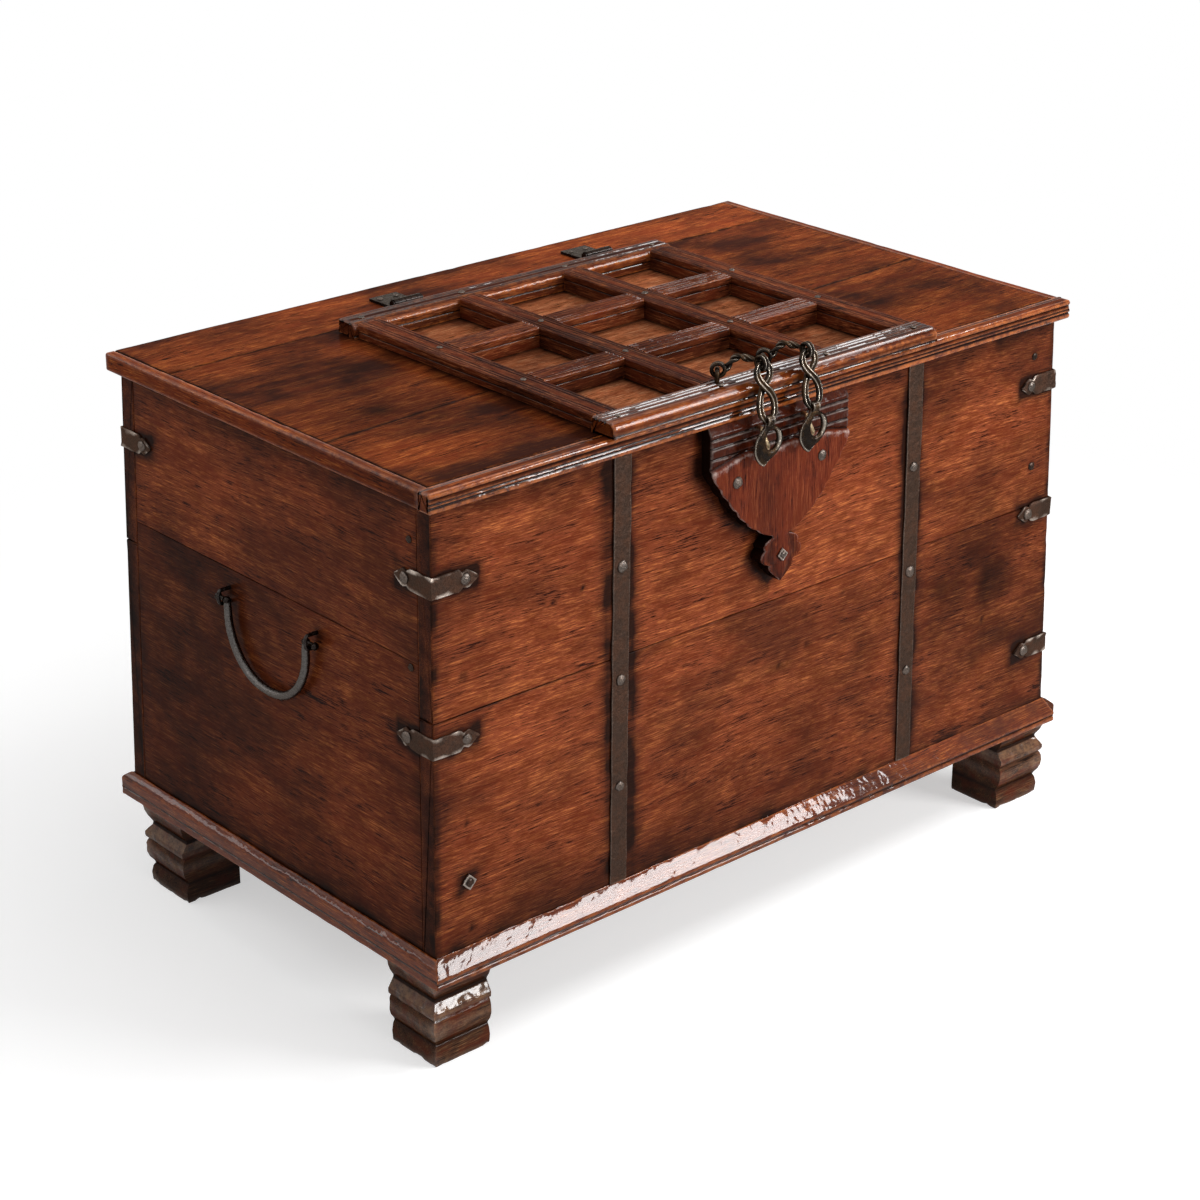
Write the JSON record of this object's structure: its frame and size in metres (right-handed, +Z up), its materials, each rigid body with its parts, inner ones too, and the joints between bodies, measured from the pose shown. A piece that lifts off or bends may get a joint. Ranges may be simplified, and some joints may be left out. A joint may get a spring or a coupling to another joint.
{
  "type": "south asian dowry chest",
  "caption": "Low wooden dowry chest with a coffered lid panel let into its top, iron straps, chain hasps and bail handles.",
  "frame": {"origin": "on the floor, under the middle of the chest's whole box, chain hasps included", "axes": "+X along the chest's length, towards its right end seen from the front; +Y from front to back; +Z up; the lock plate faces -Y"},
  "size_m": [0.9, 0.5625, 0.6417],
  "materials": {
    "carcass_wood": "old reddish-brown hardwood, waxed",
    "top_wood": "old reddish-brown hardwood, waxed and stained dark in places",
    "lid_wood": "old reddish-brown hardwood, waxed",
    "trim_wood": "old reddish-brown hardwood, waxed, with worn orange edges",
    "foot_wood": "old dark-brown hardwood, waxed",
    "inner_wood": "old hardwood, unpolished",
    "strap_iron": "hand-forged wrought iron, dark and dull",
    "nail_iron": "hand-forged wrought iron, dark and dull",
    "handle_iron": "hand-forged wrought iron, dark, rubbed smooth",
    "chain_iron": "hand-forged wrought iron, rubbed bright on its edges"
  },
  "bodies": {
    "case": {"front_plank_lower": "carcass_wood", "front_plank_upper": "carcass_wood", "back_plank_lower": "carcass_wood", "back_plank_upper": "carcass_wood", "left_side_lower": "carcass_wood", "left_side_upper": "carcass_wood", "right_side_lower": "carcass_wood", "right_side_upper": "carcass_wood", "floor_boards": "inner_wood", "plinth_front": "trim_wood", "plinth_back": "trim_wood", "plinth_left": "trim_wood", "plinth_right": "trim_wood", "top_end_left": "trim_wood", "top_end_right": "trim_wood", "top_front_strip": "trim_wood", "lock_plate": "trim_wood", "foot_front_left": "foot_wood", "foot_front_right": "foot_wood", "foot_back_left": "foot_wood", "foot_back_right": "foot_wood", "top_plank_front": "top_wood", "top_plank_middle": "top_wood", "top_plank_back": "top_wood", "front_strap_left": "strap_iron", "front_strap_right": "strap_iron", "corner_straps_front_left": "strap_iron", "corner_straps_front_right": "strap_iron", "corner_straps_back_left": "strap_iron", "corner_straps_back_right": "strap_iron", "hinge_leaves_fixed": "strap_iron", "hinge_pins": "strap_iron", "strap_nails": "nail_iron", "case_nails": "nail_iron", "lock_plate_nails": "nail_iron", "hinge_nails": "nail_iron", "handle_staples": "nail_iron", "lock_staples": "chain_iron"},
    "lid": {"lid_bar_left": "lid_wood", "lid_bar_inner_left": "lid_wood", "lid_bar_inner_right": "lid_wood", "lid_bar_right": "lid_wood", "lid_cross_bar_back": "lid_wood", "lid_cross_bar_front": "lid_wood", "lid_rail_back": "lid_wood", "lid_rail_front": "lid_wood", "lid_boards": "lid_wood", "lid_nails": "nail_iron", "hinge_leaves_moving": "strap_iron", "lid_staples": "chain_iron"},
    "chain_upper_left": {"chain_link_upper_left": "chain_iron"},
    "chain_lower_left": {"chain_link_lower_left": "chain_iron"},
    "hasp_left": {"hasp_left": "chain_iron"},
    "chain_upper_right": {"chain_link_upper_right": "chain_iron"},
    "chain_lower_right": {"chain_link_lower_right": "chain_iron"},
    "hasp_right": {"hasp_right": "chain_iron"},
    "handle_left": {"handle_left": "handle_iron"},
    "handle_right": {"handle_right": "handle_iron"}
  },
  "joints": [
    {"name": "lid_hinge", "type": "hinge", "parent": "case", "child": "lid", "pos_m": [0, 0.19105, 0.6019], "axis": [-1, 0, 0], "range_deg": [0, 100]},
    {"name": "chain_upper_lift_left", "type": "hinge", "parent": "lid", "child": "chain_upper_left", "pos_m": [-0.06455, -0.23414, 0.6234], "axis": [-0.7021, -0.7121, 0], "range_deg": [0, 45]},
    {"name": "chain_lower_swing_left", "type": "hinge", "parent": "chain_upper_left", "child": "chain_lower_left", "pos_m": [-0.034, -0.26516, 0.631], "axis": [-1, 0, 0], "range_deg": [0, 60]},
    {"name": "hasp_swing_left", "type": "hinge", "parent": "chain_lower_left", "child": "hasp_left", "pos_m": [-0.034, -0.27597, 0.5758], "axis": [-1, 0, 0], "range_deg": [0, 75]},
    {"name": "chain_upper_lift_right", "type": "hinge", "parent": "lid", "child": "chain_upper_right", "pos_m": [-0.00255, -0.23414, 0.6234], "axis": [-0.7021, -0.7121, 0], "range_deg": [0, 45]},
    {"name": "chain_lower_swing_right", "type": "hinge", "parent": "chain_upper_right", "child": "chain_lower_right", "pos_m": [0.028, -0.26516, 0.631], "axis": [-1, 0, 0], "range_deg": [0, 60]},
    {"name": "hasp_swing_right", "type": "hinge", "parent": "chain_lower_right", "child": "hasp_right", "pos_m": [0.028, -0.27597, 0.5758], "axis": [-1, 0, 0], "range_deg": [0, 75]},
    {"name": "handle_swing_left", "type": "hinge", "parent": "case", "child": "handle_left", "pos_m": [-0.44194, 0.00198, 0.38945], "axis": [0, 1, 0], "range_deg": [0, 110]},
    {"name": "handle_swing_right", "type": "hinge", "parent": "case", "child": "handle_right", "pos_m": [0.44194, 0.00198, 0.38945], "axis": [0, -1, 0], "range_deg": [0, 110]}
  ]
}
